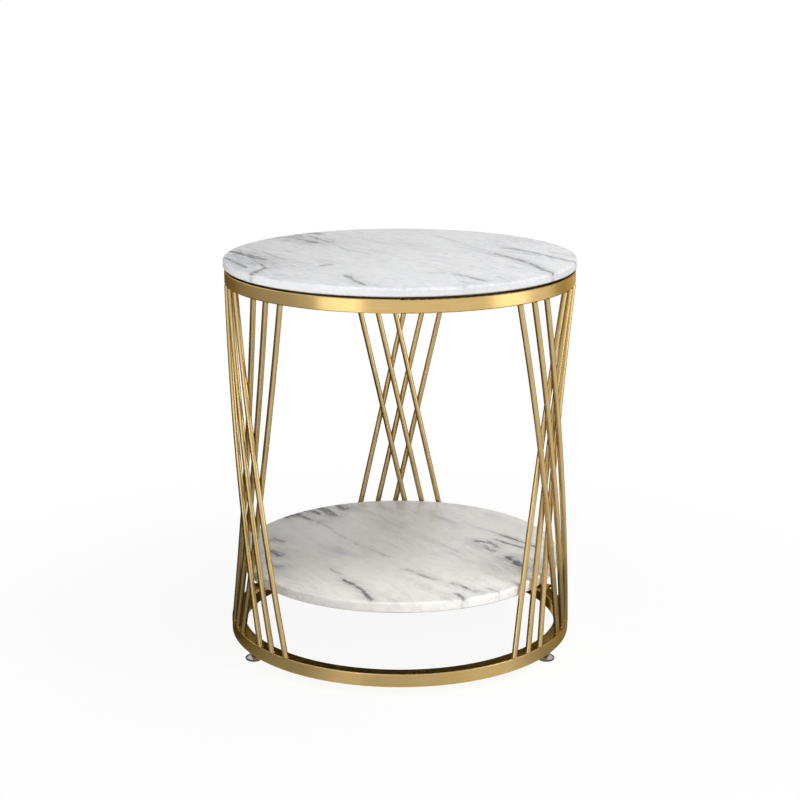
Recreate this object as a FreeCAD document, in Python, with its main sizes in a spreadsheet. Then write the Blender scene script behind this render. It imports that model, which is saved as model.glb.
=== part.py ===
import FreeCAD, Part
import os

import Sketcher

# Tiered side table: two round stone tiers carried by two square-tube hoops and a lattice of bowed rods.
# Millimetres and degrees, +Z up, origin on the floor under the middle of the table.

SIZES = (
    # Round stone top
    ("slab_radius", 250),
    ("slab_thickness", 12),
    ("slab_overhang", 1.5),
    # Round stone shelf
    ("shelf_thickness", 15),
    ("shelf_height", 112),
    ("shelf_clearance", 3),
    # Eased upper and broken lower edge of both stones
    ("stone_edge_radius", 3),
    ("stone_chamfer", 1.6),
    # Square-tube hoops
    ("tube_size", 19),
    ("tube_wall", 1.2),
    ("tube_corner_radius", 1.5),
    # Rod lattice
    ("rod_height", 498),
    ("rod_diameter", 8),
    ("rod_proud", 1),
    ("rod_straight_end", 10),
    ("rod_spacing_angle", 6.55),
    ("rod_lean_angle", 13.2),
    ("rod_crossing_gap", 0.2),
    ("outer_bow_share", 0.64),
    ("first_group_angle", 90),
    # Clear pads under the stones
    ("pad_thickness", 3),
    ("pad_diameter", 8),
    ("first_top_pad_angle", 30),
    ("top_pad_inset", 3.6),
    # Flat tabs that carry the shelf
    ("tab_thickness", 4),
    ("tab_width", 24),
    ("tab_reach", 34),
    ("tab_corner_radius", 6),
    ("tab_weld_gap", 0.2),
    ("shelf_pad_inset", 20),
    # Levelling feet
    ("foot_height", 11),
    ("foot_outset", 1.6),
    ("running_clearance", 0.05),
    # Threaded stud of a foot
    ("stud_diameter", 8),
    ("stud_headroom", 2.8),
    ("stud_head_step", 2.2),
    ("stud_head_height", 2.4),
    ("stud_head_clearance", 0.3),
    ("collar_step", 1.6),
    ("collar_height", 1.8),
    ("collar_clearance", 0.1),
    # Bell of a foot
    ("bell_diameter", 24),
    ("bell_rim_height", 2),
    ("bell_rim_wall", 0.8),
    ("bell_neck_wall", 1.5),
    # Nylon sole of a foot
    ("sole_thickness", 2.2),
    ("sole_proud", 1.5),
    ("sole_clearance", 0.1),
    # Rivet nut of a foot
    ("nut_wall", 1.4),
    ("nut_headroom", 3.8),
    ("nut_flange_step", 1),
    ("nut_flange_thickness", 1),
    ("nut_hole_clearance", 0.1),
    # Allowances of cuts that run past what they cut
    ("cut_overrun", 3),
)

GROUP_NAMES = ("back", "left", "right")
RODS_PER_SET = 3
TOP_PAD_COUNT = 6
HEXAGON_SIDES = 6
FULL_TURN = 360
QUARTER_TURN = 90
SAME_PLACE = 1e-6

# Sketch points: the origin, the two ends of a line, and the middle of a circle
ORIGIN = -1
START = 1
END = 2
MIDDLE = 3

# Heights above the floor
BASE_TOP = "(Sizes.foot_height + Sizes.tube_size)"
HALF_ROD = "(Sizes.rod_height / 2)"
LATTICE_MIDDLE = f"({BASE_TOP} + {HALF_ROD})"
TOP_RING_BOTTOM = f"({BASE_TOP} + Sizes.rod_height)"
TOP_RING_TOP = f"({TOP_RING_BOTTOM} + Sizes.tube_size)"
SLAB_BOTTOM = f"({TOP_RING_TOP} + Sizes.pad_thickness)"
TAB_TOP = "(Sizes.shelf_height - Sizes.pad_thickness)"
TAB_BOTTOM = f"({TAB_TOP} - Sizes.tab_thickness)"
SHELF_TOP = "(Sizes.shelf_height + Sizes.shelf_thickness)"

# Hoops
HOOP = "(Sizes.slab_radius - Sizes.slab_overhang)"
HOOP_INSIDE = f"({HOOP} - Sizes.tube_size)"
HOOP_MIDDLE = f"({HOOP} - Sizes.tube_size / 2)"

# Rods: both sets end on one circle, and bow away from each other so that they pass with a small gap
ROD_RADIUS = "(Sizes.rod_diameter / 2)"
ROD_END = f"({HOOP} + Sizes.rod_proud - {ROD_RADIUS})"
CHORD = f"({ROD_END} * cos(Sizes.rod_lean_angle))"
HALF_RUN = f"({ROD_END} * sin(Sizes.rod_lean_angle))"
HALF_LENGTH = f"sqrt({HALF_ROD} ^ 2 + {HALF_RUN} ^ 2)"
TILT = f"atan({HALF_RUN} / {HALF_ROD})"
FAR_CROSSING = (
    f"(tan(Sizes.rod_spacing_angle * {RODS_PER_SET - 1} / 2) / tan(Sizes.rod_lean_angle))"
)
BOW = f"((Sizes.rod_diameter + Sizes.rod_crossing_gap) / (1 - {FAR_CROSSING} ^ 2))"
OUTER_BOW = f"({BOW} * Sizes.outer_bow_share)"
INNER_BOW = f"({BOW} * (1 - Sizes.outer_bow_share))"

# Feet
FOOT_RADIUS = f"({HOOP_MIDDLE} + Sizes.foot_outset)"
STUD_RADIUS = "(Sizes.stud_diameter / 2)"
RUNNING_BORE = f"({STUD_RADIUS} + Sizes.running_clearance)"
COLLAR_TOP = "(Sizes.foot_height - Sizes.nut_flange_thickness)"
COLLAR_BOTTOM = f"({COLLAR_TOP} - Sizes.collar_height)"
BELL_TOP = f"({COLLAR_BOTTOM} - Sizes.collar_clearance)"
HEAD_BOTTOM = "(Sizes.sole_thickness + Sizes.stud_head_clearance)"
HEAD_TOP = f"({HEAD_BOTTOM} + Sizes.stud_head_height)"
HEAD_RADIUS = f"({STUD_RADIUS} + Sizes.stud_head_step)"
TUBE_CEILING = f"({BASE_TOP} - Sizes.tube_wall)"
NUT_RADIUS = f"({RUNNING_BORE} + Sizes.nut_wall)"
NUT_HOLE = f"({NUT_RADIUS} + Sizes.nut_hole_clearance)"
BELL_RECESS = "(Sizes.bell_diameter / 2 - Sizes.bell_rim_wall)"


def group_angle(index):
    """Angle of a rod group about the table's axis."""
    return f"((Sizes.first_group_angle + {index * FULL_TURN / len(GROUP_NAMES)}) * 1 deg)"


def rod_axis(height, bow, run_sign, turn_sign):
    """Radius and angle, in its group, of the end rod of a set at a height below the lattice's middle."""
    level = f"(({LATTICE_MIDDLE} - {height}) / {HALF_ROD})"
    out = f"({CHORD} + ({bow}) * (1 - {level} ^ 2))"
    run = f"({HALF_RUN} * {level})"
    radius = f"sqrt({out} ^ 2 + {run} ^ 2)"
    end_turn = f"(Sizes.rod_spacing_angle * {(RODS_PER_SET - 1) / 2} * 1 deg)"
    angle = f"({turn_sign} * {end_turn} + {run_sign} * atan({run} / {out}))"
    return radius, angle


INNER_ROD_AT_SHELF = rod_axis(SHELF_TOP, f"-{INNER_BOW}", -1, 1)[0]
SHELF_RADIUS = f"({INNER_ROD_AT_SHELF} - {ROD_RADIUS} - Sizes.shelf_clearance)"


def put_sizes(doc):
    """Fills the sheet that every size is bound to."""
    sheet = doc.addObject("Spreadsheet::Sheet", "Sizes")
    for row, (alias, value) in enumerate(SIZES, start=1):
        sheet.set(f"A{row}", alias)
        sheet.set(f"B{row}", str(value))
        sheet.setAlias(f"B{row}", alias)
    doc.recompute()


def number(owner, expression):
    """Value of an expression as it stands now."""
    value = owner.evalExpression(expression)
    return getattr(value, "Value", value)


def place(piece, angle="0 deg", out="0", height="0"):
    """Ties a piece's place to an angle about the table's axis, a radius and a height."""
    turn = f"placement(vector(0; 0; 0); rotationz({angle}))"
    shift = f"placement(vector({out}; 0; {height}); rotationz(0 deg))"
    piece.setExpression("Placement", f"{turn} * {shift}")


def new_sketch(body, name, role):
    """Sketch on one of the body's own origin planes."""
    sketch = body.newObject("Sketcher::SketchObject", name)
    plane = next(item for item in body.Origin.OriginFeatures if item.Role == role)
    sketch.AttachmentSupport = [(plane, "")]
    sketch.MapMode = "FlatFace"
    return sketch


def tie(sketch, kind, items, expression):
    """Adds a named dimension whose value follows the sheet."""
    values = (kind, *items, number(sketch, expression))
    constraint = sketch.addConstraint(Sketcher.Constraint(*values))
    name = f"{kind}_{constraint}"
    sketch.renameConstraint(constraint, name)
    sketch.setExpression(f"Constraints.{name}", expression)


def add_loop(sketch, corners):
    """Draws a closed outline through corners given as pairs of expressions."""
    first = sketch.GeometryCount
    points = [FreeCAD.Vector(number(sketch, across), number(sketch, up), 0) for across, up in corners]
    for index, point in enumerate(points):
        following = points[(index + 1) % len(points)]
        sketch.addGeometry(Part.LineSegment(point, following), False)
    for index, (across, up) in enumerate(corners):
        edge = first + index
        next_edge = first + (index + 1) % len(corners)
        sketch.addConstraint(Sketcher.Constraint("Coincident", edge, END, next_edge, START))
        tie(sketch, "DistanceX", (ORIGIN, START, edge, START), across)
        tie(sketch, "DistanceY", (ORIGIN, START, edge, START), up)


def add_circle(sketch, radius, across="0", up="0"):
    """Draws a circle whose radius and middle follow the sheet."""
    middle = FreeCAD.Vector(number(sketch, across), number(sketch, up), 0)
    circle = Part.Circle(middle, FreeCAD.Vector(0, 0, 1), number(sketch, radius))
    edge = sketch.addGeometry(circle, False)
    tie(sketch, "Radius", (edge,), radius)
    tie(sketch, "DistanceX", (ORIGIN, START, edge, MIDDLE), across)
    tie(sketch, "DistanceY", (ORIGIN, START, edge, MIDDLE), up)


def new_body(doc, label):
    """Empty body under the piece's own name."""
    body = doc.addObject("PartDesign::Body", label)
    body.Label = label
    return body


def revolve(body, loops):
    """Turns outlines, given as radius and height, about the body's upright axis."""
    sketch = new_sketch(body, f"{body.Label}_profile", "XZ_Plane")
    for corners in loops:
        add_loop(sketch, corners)
    turned = body.newObject("PartDesign::Revolution", f"{body.Label}_turned")
    turned.Profile = sketch
    turned.ReferenceAxis = (sketch, ["V_Axis"])
    turned.Angle = FULL_TURN
    body.Document.recompute()
    return turned


def round_edges(feature, height, radii):
    """Names of a feature's round edges at one height, in the body's own frame, with one of the radii."""
    names = []
    for index, edge in enumerate(feature.Shape.Edges, start=1):
        if not isinstance(edge.Curve, Part.Circle):
            continue
        if abs(edge.Curve.Center.z - height) > SAME_PLACE:
            continue
        if any(abs(edge.Curve.Radius - radius) < SAME_PLACE for radius in radii):
            names.append(f"Edge{index}")
    return names


def soften(body, feature, kind, edges, size):
    """Fillets or chamfers named edges of a feature by a size of the sheet."""
    softened = body.newObject(f"PartDesign::{kind}", f"{feature.Name}_{kind.lower()}")
    softened.Base = (feature, edges)
    size_name = "Radius" if kind == "Fillet" else "Size"
    softened.setExpression(size_name, size)
    body.Document.recompute()
    return softened


def stone_disc(doc, label, radius, thickness, height):
    """Round stone with an eased upper edge and a broken lower edge."""
    body = new_body(doc, label)
    sketch = new_sketch(body, f"{label}_outline", "XY_Plane")
    add_circle(sketch, radius)
    pad = body.newObject("PartDesign::Pad", f"{label}_block")
    pad.Profile = sketch
    pad.setExpression("Length", thickness)
    doc.recompute()
    radii = [number(body, radius)]
    upper = round_edges(pad, number(body, thickness), radii)
    eased = soften(body, pad, "Fillet", upper, "Sizes.stone_edge_radius")
    lower = round_edges(eased, 0, radii)
    soften(body, eased, "Chamfer", lower, "Sizes.stone_chamfer")
    place(body, height=height)
    return body


def hoop(doc, label, height):
    """Ring of square tube with rounded corners."""
    body = new_body(doc, label)
    inside, outside = HOOP_INSIDE, HOOP
    wall, size = "Sizes.tube_wall", "Sizes.tube_size"
    skin = [(inside, "0"), (outside, "0"), (outside, size), (inside, size)]
    near, far, floor, ceiling = f"{inside} + {wall}", f"{outside} - {wall}", wall, f"{size} - {wall}"
    bore = [(near, floor), (far, floor), (far, ceiling), (near, ceiling)]
    turned = revolve(body, [skin, bore])
    radii = [number(body, inside), number(body, outside)]
    corners = round_edges(turned, 0, radii) + round_edges(turned, number(body, size), radii)
    soften(body, turned, "Fillet", corners, "Sizes.tube_corner_radius")
    place(body, height=height)
    return body


def drill_for_nuts(body):
    """Opens the tube's lower wall where the rivet nuts go in."""
    doc = body.Document
    undrilled = body.Shape.Volume
    sketch = new_sketch(body, "nut_hole_outline", "XY_Plane")
    angle = group_angle(0)
    add_circle(sketch, NUT_HOLE, f"{FOOT_RADIUS} * cos({angle})", f"{FOOT_RADIUS} * sin({angle})")
    hole = body.newObject("PartDesign::Pocket", "nut_hole")
    hole.Profile = sketch
    hole.Reversed = True
    hole.setExpression("Length", "Sizes.tube_wall + Sizes.cut_overrun")
    doc.recompute()
    one_hole = undrilled - body.Shape.Volume
    pattern = body.newObject("PartDesign::PolarPattern", "nut_holes")
    pattern.Originals = [hole]
    pattern.Axis = (sketch, ["N_Axis"])
    pattern.Angle = FULL_TURN
    pattern.Occurrences = len(GROUP_NAMES)
    body.Tip = pattern
    doc.recompute()
    all_holes = undrilled - body.Shape.Volume
    if one_hole <= 0 or abs(all_holes / one_hole - len(GROUP_NAMES)) > SAME_PLACE:
        raise RuntimeError("the nut holes don't all cut the lower hoop")


def lattice_space(doc):
    """Disc of space between the hoops, which trims the rods to the hoops' faces."""
    space = doc.addObject("Part::Cylinder", "lattice_space")
    space.setExpression("Radius", "Sizes.slab_radius + Sizes.tube_size")
    space.setExpression("Height", "Sizes.rod_height")
    place(space, height=BASE_TOP)
    return space


def straight_end(doc, label, seat, angle, side, arc_radius):
    """Short straight end of a rod, in line with the end of its arc at an angle of the arc's own circle."""
    stub = doc.addObject("Part::Cylinder", label)
    stub.setExpression("Radius", ROD_RADIUS)
    stub.setExpression("Height", "Sizes.rod_straight_end + Sizes.cut_overrun")
    turn = f"placement(vector(0; 0; 0); rotationz({angle}))"
    out = f"placement(vector({arc_radius}; 0; 0); rotationx({-side * QUARTER_TURN} deg))"
    stub.setExpression("Placement", f"{seat} * {turn} * {out}")
    return stub


def bowed_rod(doc, label, angle, outward, space):
    """Rod bowed to a large arc, leaning along the hoops, with straight ends cut level."""
    bow = OUTER_BOW if outward else INNER_BOW
    side = 1 if outward else -1
    arc_radius = f"(({HALF_LENGTH} ^ 2 + {bow} ^ 2) / (2 * {bow}))"
    half_turn = f"asin(({HALF_LENGTH} - Sizes.rod_straight_end) / {arc_radius})"
    facing = "0 deg" if outward else "180 deg"
    middle = f"{CHORD} + {side} * ({bow} - {arc_radius})"
    turn = f"placement(vector(0; 0; 0); rotationz({angle}))"
    lean = f"placement(vector({middle}; 0; {LATTICE_MIDDLE}); rotationx(90 deg + {side} * {TILT}))"
    seat = f"{turn} * {lean}"
    arc = doc.addObject("Part::Torus", f"{label}_arc")
    arc.setExpression("Radius1", arc_radius)
    arc.setExpression("Radius2", ROD_RADIUS)
    arc.setExpression("Angle3", f"2 * {half_turn}")
    start = f"placement(vector(0; 0; 0); rotationz({facing} - {half_turn}))"
    arc.setExpression("Placement", f"{seat} * {start}")
    ends = [
        straight_end(doc, f"{label}_{end_name}", seat, f"{facing} + {sign} * {half_turn}", sign, arc_radius)
        for end_name, sign in (("head", 1), ("tail", -1))
    ]
    length = doc.addObject("Part::MultiFuse", f"{label}_length")
    length.Shapes = [arc, *ends]
    rod = doc.addObject("Part::Common", label)
    rod.Label = label
    rod.Base = length
    rod.Tool = space
    return rod


def lattice(doc):
    """Three groups of rods: one set leaning each way, the outer set passing over the inner one."""
    space = lattice_space(doc)
    rods = []
    for group, name in enumerate(GROUP_NAMES):
        for outward, set_name in ((True, "outer"), (False, "inner")):
            for count in range(RODS_PER_SET):
                steps = count - (RODS_PER_SET - 1) / 2
                angle = f"({group_angle(group)} + Sizes.rod_spacing_angle * {steps} * 1 deg)"
                label = f"{name}_{set_name}_rod_{count + 1}"
                rods.append(bowed_rod(doc, label, angle, outward, space))
    return rods


def clear_pad(doc, label, angle, out, height):
    """Thin round pad that a stone lies on."""
    pad = doc.addObject("Part::Cylinder", label)
    pad.Label = label
    pad.setExpression("Radius", "Sizes.pad_diameter / 2")
    pad.setExpression("Height", "Sizes.pad_thickness")
    place(pad, angle, out, height)
    return pad


def top_pads(doc):
    """Pads between the upper hoop and the top, set in from the hoop's middle so that they don't show."""
    pads = []
    out = f"({HOOP_MIDDLE} - Sizes.top_pad_inset)"
    for index in range(TOP_PAD_COUNT):
        angle = f"(Sizes.first_top_pad_angle + {index * FULL_TURN / TOP_PAD_COUNT}) * 1 deg"
        pads.append(clear_pad(doc, f"top_pad_{index + 1}", angle, out, TOP_RING_TOP))
    return pads


def shelf_tab(doc, name, angle):
    """Flat tab under the shelf, its outer end cut to lie along the two rods that it is welded to."""
    body = new_body(doc, f"shelf_tab_{name}")
    middle_height = f"({TAB_BOTTOM} + Sizes.tab_thickness / 2)"
    inner_radius, inner_angle = rod_axis(middle_height, f"-{INNER_BOW}", -1, 1)
    outer_radius, outer_angle = rod_axis(middle_height, OUTER_BOW, 1, -1)
    inner_out, inner_along = f"{inner_radius} * cos({inner_angle})", f"{inner_radius} * sin({inner_angle})"
    outer_out, outer_along = f"{outer_radius} * cos({outer_angle})", f"{outer_radius} * sin({outer_angle})"
    slope = f"((({outer_out}) - ({inner_out})) / (({outer_along}) - ({inner_along})))"
    setback = f"(({ROD_RADIUS} + Sizes.tab_weld_gap) * sqrt(1 + {slope} ^ 2))"
    half_width = "Sizes.tab_width / 2"
    near = f"{SHELF_RADIUS} - Sizes.tab_reach"
    low_end = f"({inner_out}) + (-{half_width} - ({inner_along})) * {slope} - {setback}"
    high_end = f"({inner_out}) + ({half_width} - ({inner_along})) * {slope} - {setback}"
    sketch = new_sketch(body, f"{body.Label}_outline", "XY_Plane")
    low, high = f"-{half_width}", half_width
    add_loop(sketch, [(near, low), (low_end, low), (high_end, high), (near, high)])
    plate = body.newObject("PartDesign::Pad", f"{body.Label}_plate")
    plate.Profile = sketch
    plate.setExpression("Length", "Sizes.tab_thickness")
    doc.recompute()
    near_value = number(body, near)
    upright = [
        f"Edge{index}"
        for index, edge in enumerate(plate.Shape.Edges, start=1)
        if all(abs(corner.X - near_value) < SAME_PLACE for corner in edge.Vertexes)
        and abs(edge.Vertexes[0].Y - edge.Vertexes[1].Y) < SAME_PLACE
    ]
    soften(body, plate, "Fillet", upright, "Sizes.tab_corner_radius")
    place(body, angle, height=TAB_BOTTOM)
    return body


def shelf_supports(doc):
    """One tab and one pad under the shelf at each rod group."""
    pieces = []
    for group, name in enumerate(GROUP_NAMES):
        angle = group_angle(group)
        out = f"{SHELF_RADIUS} - Sizes.shelf_pad_inset"
        pieces.append(shelf_tab(doc, name, angle))
        pieces.append(clear_pad(doc, f"shelf_pad_{name}", angle, out, TAB_TOP))
    return pieces


def foot_sole(doc, name):
    """Nylon disc that stands on the floor."""
    body = new_body(doc, f"foot_sole_{name}")
    edge, thickness = f"({BELL_RECESS} - Sizes.sole_clearance)", "Sizes.sole_thickness"
    revolve(body, [[("0", "0"), (edge, "0"), (edge, thickness), ("0", thickness)]])
    return body


def foot_bell(doc, name):
    """Bell of a foot: a coned cover with a rim, hollow for the stud's head and the sole."""
    body = new_body(doc, f"foot_bell_{name}")
    rim, rim_bottom = "Sizes.bell_diameter / 2", "Sizes.sole_proud"
    rim_top = f"({rim_bottom} + Sizes.bell_rim_height)"
    neck = f"({RUNNING_BORE} + Sizes.bell_neck_wall)"
    recess_top = "Sizes.sole_thickness"
    hollow = f"({HEAD_RADIUS} + Sizes.stud_head_clearance)"
    hollow_top = f"({HEAD_TOP} + Sizes.stud_head_clearance)"
    revolve(body, [[
        (BELL_RECESS, rim_bottom), (rim, rim_bottom), (rim, rim_top), (neck, BELL_TOP),
        (RUNNING_BORE, BELL_TOP), (RUNNING_BORE, hollow_top), (hollow, hollow_top),
        (hollow, recess_top), (BELL_RECESS, recess_top),
    ]])
    return body


def foot_stud(doc, name):
    """Threaded stud of a foot, with a head held in the bell and a hexagon collar to turn it by."""
    body = new_body(doc, f"foot_stud_{name}")
    tip = f"({TUBE_CEILING} - Sizes.stud_headroom)"
    revolve(body, [[
        ("0", HEAD_BOTTOM), (HEAD_RADIUS, HEAD_BOTTOM), (HEAD_RADIUS, HEAD_TOP), (STUD_RADIUS, HEAD_TOP),
        (STUD_RADIUS, tip), ("0", tip),
    ]])
    sketch = new_sketch(body, f"{body.Label}_hexagon", "XY_Plane")
    sketch.setExpression("AttachmentOffset.Base.z", COLLAR_BOTTOM)
    half_angle = FULL_TURN / HEXAGON_SIDES / 2
    corner = f"({STUD_RADIUS} + Sizes.collar_step) / cos({half_angle})"
    turns = [side * FULL_TURN / HEXAGON_SIDES for side in range(HEXAGON_SIDES)]
    add_loop(sketch, [(f"{corner} * cos({turn})", f"{corner} * sin({turn})") for turn in turns])
    collar = body.newObject("PartDesign::Pad", f"{body.Label}_collar")
    collar.Profile = sketch
    collar.setExpression("Length", "Sizes.collar_height")
    return body


def rivet_nut(doc, name):
    """Flanged nut set in the hoop's lower wall, which the stud screws into."""
    body = new_body(doc, f"rivet_nut_{name}")
    flange = f"({NUT_RADIUS} + Sizes.nut_flange_step)"
    seat, top = "Sizes.foot_height", f"({TUBE_CEILING} - Sizes.nut_headroom)"
    revolve(body, [[
        (RUNNING_BORE, COLLAR_TOP), (flange, COLLAR_TOP), (flange, seat), (NUT_RADIUS, seat),
        (NUT_RADIUS, top), (RUNNING_BORE, top),
    ]])
    return body


def feet(doc):
    """A levelling foot under each rod group."""
    pieces = []
    for group, name in enumerate(GROUP_NAMES):
        for make in (foot_sole, foot_bell, foot_stud, rivet_nut):
            piece = make(doc, name)
            place(piece, group_angle(group), FOOT_RADIUS)
            pieces.append(piece)
    return pieces


def check(doc, pieces):
    """Stops if any object failed to build or any piece isn't one sound solid."""
    for item in doc.Objects:
        if "Invalid" in item.State or "Error" in item.State:
            raise RuntimeError(f"{item.Label} failed to build")
    for piece in pieces:
        shape = piece.Shape
        if shape.isNull() or not shape.isValid() or len(shape.Solids) != 1:
            raise RuntimeError(f"{piece.Label} isn't one sound solid")


def main():
    """Builds the table and writes one file for each piece."""
    doc = FreeCAD.newDocument("side_table")
    put_sizes(doc)
    pieces = [stone_disc(doc, "top_slab", "Sizes.slab_radius", "Sizes.slab_thickness", SLAB_BOTTOM)]
    pieces.append(stone_disc(doc, "shelf_slab", SHELF_RADIUS, "Sizes.shelf_thickness", "Sizes.shelf_height"))
    base_ring = hoop(doc, "base_ring", "Sizes.foot_height")
    drill_for_nuts(base_ring)
    pieces += [hoop(doc, "top_ring", TOP_RING_BOTTOM), base_ring]
    pieces += lattice(doc)
    pieces += top_pads(doc)
    pieces += shelf_supports(doc)
    pieces += feet(doc)
    doc.recompute()
    check(doc, pieces)
    os.makedirs("parts", exist_ok=True)
    for piece in pieces:
        piece.Shape.exportStep(f"parts/{piece.Label}.step")
        print(f"{piece.Label}: {piece.Shape.Volume:.1f} mm3")


main()
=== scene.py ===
import math

import bpy
from mathutils import Matrix, Vector


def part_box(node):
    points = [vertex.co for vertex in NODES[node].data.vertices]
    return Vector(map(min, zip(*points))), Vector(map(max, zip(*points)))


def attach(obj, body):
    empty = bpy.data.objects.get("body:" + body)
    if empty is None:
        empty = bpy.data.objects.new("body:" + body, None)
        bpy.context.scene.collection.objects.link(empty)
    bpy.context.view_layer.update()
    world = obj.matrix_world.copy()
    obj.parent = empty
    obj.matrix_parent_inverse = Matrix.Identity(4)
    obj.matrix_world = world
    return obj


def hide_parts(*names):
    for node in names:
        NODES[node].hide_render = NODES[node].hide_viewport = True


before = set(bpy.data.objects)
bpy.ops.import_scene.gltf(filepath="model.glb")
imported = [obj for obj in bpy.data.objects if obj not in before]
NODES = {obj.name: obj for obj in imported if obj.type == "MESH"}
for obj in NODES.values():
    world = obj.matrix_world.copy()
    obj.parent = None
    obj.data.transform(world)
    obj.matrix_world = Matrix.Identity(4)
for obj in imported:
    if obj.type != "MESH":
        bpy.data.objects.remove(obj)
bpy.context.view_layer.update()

bl_info = {
    "name": "Side Table Finish",
    "version": (1, 0, 0),
    "blender": (4, 5, 0),
    "location": "View3D > Sidebar > Side Table",
    "description": (
        "Finishes the packed side table: veined stones, brushed gold frame, levelling feet, plain studio"
    ),
    "category": "Object",
}

MM = 0.001
GROUPS = ("back", "left", "right")
ROD_SETS = ("outer", "inner")
RODS_PER_SET = 3
TOP_PAD_COUNT = 6
TOP_PADS = tuple(f"top_pad_{number}" for number in range(1, TOP_PAD_COUNT + 1))
SHELF_PADS = tuple(f"shelf_pad_{group}" for group in GROUPS)
SHELF_TABS = tuple(f"shelf_tab_{group}" for group in GROUPS)
RIVET_NUTS = tuple(f"rivet_nut_{group}" for group in GROUPS)
RODS = tuple(
    f"{group}_{rod_set}_rod_{number}"
    for group in GROUPS for rod_set in ROD_SETS for number in range(1, RODS_PER_SET + 1)
)

# Veins of each stone: half width in millimetres, depth of tone, and the places that the vein runs through
TOP_VEINS = (
    # The first two entries of the top are broad grey smudges rather than lines, and the first darkens the
    # left part of the top
    (70, 0.28, ((-240, 50), (-205, -60))), (50, 0.28, ((-170, 170), (-120, 115))),
    (8, 0.9, ((-243, 38), (-215, -3), (-202, -25), (-191, -33))), (11, 0.95, ((-216, 3), (-202, -20))),
    (4, 0.6, ((-203, -29), (-199, -55), (-183, -100))), (6, 0.85, ((-183, -100), (-190, -119), (-200, -148))),
    (6, 0.7, ((-248, -13), (-236, -32), (-226, -60), (-211, -100))), (5, 0.4, ((-200, 34), (-160, -43))),
    (6, 0.65, ((-172, 164), (-158, 152), (-126, 113))), (9, 0.9, ((-135, 124), (-126, 115))),
    (6, 0.6, ((-158, 189), (-131, 168), (-104, 120))), (5, 0.25, ((-104, 120), (-77, 50), (-43, 13))),
    (9, 0.95, ((-135, 202), (-126, 198))), (10, 0.6, ((-192, 152), (-175, 160))),
    (8, 0.25, ((-167, 45), (-157, 29))), (9, 0.4, ((-109, -84), (-97, -77))),
    (6, 0.55, ((-75, -152), (-67, -169), (-50, -219), (-43, -225))), (10, 0.45, ((-73, -157), (-62, -184))),
    (4, 0.55, ((152, 61), (168, 57), (207, -3), (242, -55))), (3, 0.35, ((150, 38), (197, -3))),
    (6, 0.6, ((134, 16), (159, -22), (182, -78), (205, -144))), (5, 0.2, ((52, 186), (134, 16))),
    (5, 0.45, ((76, -148), (93, -169), (114, -202))), (3, 0.35, ((83, -202), (91, -220))),
    (4, 0.25, ((132, -169), (145, -202))), (8, 0.25, ((41, -135), (58, -139))),
)
SHELF_VEINS = (
    (11, 1.0, ((-101, 207), (-95, 196), (-85, 187))), (9, 0.95, ((-131, 194), (-122, 187), (-101, 155))),
    (9, 0.8, ((-150, 176), (-136, 173), (-124, 163))), (10, 0.8, ((-177, 146), (-168, 152), (-157, 160))),
    (5, 0.6, ((-156, 155), (-131, 124), (-121, 115))), (8, 0.5, ((-127, 122), (-121, 115))),
    (5, 0.2, ((-121, 115), (-92, 52), (-20, -42))), (12, 0.4, ((-190, 34), (-178, 29))),
    (12, 0.55, ((-190, -18), (-176, -34))), (10, 0.4, ((-182, -80), (-173, -88))),
    (6, 0.3, ((-103, -92), (-87, -119))), (9, 0.4, ((-70, -153), (-57, -174))),
    (6, 0.65, ((-79, -140), (-66, -158), (-58, -172), (-45, -214), (-40, -224))),
    (6, 0.3, ((8, -96), (25, -114), (51, -141))), (6, 0.5, ((74, -158), (86, -169), (106, -190))),
    (5, 0.5, ((76, -197), (86, -215))), (5, 0.35, ((125, -176), (135, -187))),
    (7, 0.6, ((114, 30), (127, 26), (140, 4))), (6, 0.5, ((124, 10), (136, -18))),
    (3, 0.3, ((119, 93), (150, 59))), (4, 0.7, ((150, 59), (165, 43), (185, 18), (200, 2))),
    (4, 0.5, ((141, 39), (161, 14), (184, -4))), (9, 0.75, ((155, -46), (166, -65), (178, -88))),
)


# Settings

def colour(name, description, default):
    """Colour property of the settings."""
    return bpy.props.FloatVectorProperty(
        name=name, description=description, default=default, subtype="COLOR", size=3, min=0, max=1
    )


def length(name, description, default):
    """Length property of the settings, in metres."""
    return bpy.props.FloatProperty(
        name=name, description=description, default=default, min=0, unit="LENGTH", precision=4
    )


def share(name, description, default):
    """Share property of the settings, from nothing to all."""
    return bpy.props.FloatProperty(
        name=name, description=description, default=default, min=0, max=1, subtype="FACTOR"
    )


class SideTableStone(bpy.types.PropertyGroup):
    """Looks of the two stones."""

    top_white: colour("Top white", "Ground colour of the top", (0.78, 0.783, 0.792))
    # Partly painted light: the shelf's ground colour is set paler than the top's to make up for the shade
    # that the top casts on it
    shelf_white_and_painted_light: colour("Shelf white", "Ground colour of the shelf", (0.9, 0.88, 0.843))
    cloud: colour("Clouds", "Soft grey drifts in both stones", (0.40, 0.40, 0.425))
    vein: colour("Veins", "Darkest tone of the veins", (0.09, 0.09, 0.10))
    # Painted shade: the stones' undersides get this dark colour to stand for the shade beneath them, which
    # the gold mirrors
    underside_shade: colour("Backing", "Sawn and sealed underside of the stones", (0.23, 0.222, 0.205))
    polish: share("Polish", "Roughness of the polished faces", 0.34)
    top_drifts: share("Top drifts", "Strength of the grey drifts in the top", 0.9)
    top_mottle: share("Top mottle", "Strength of the fine mottle in the top", 0.44)
    shelf_drifts: share("Shelf drifts", "Strength of the grey drifts in the shelf", 0.7)
    shelf_mottle: share("Shelf mottle", "Strength of the fine mottle in the shelf", 0.2)


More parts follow.
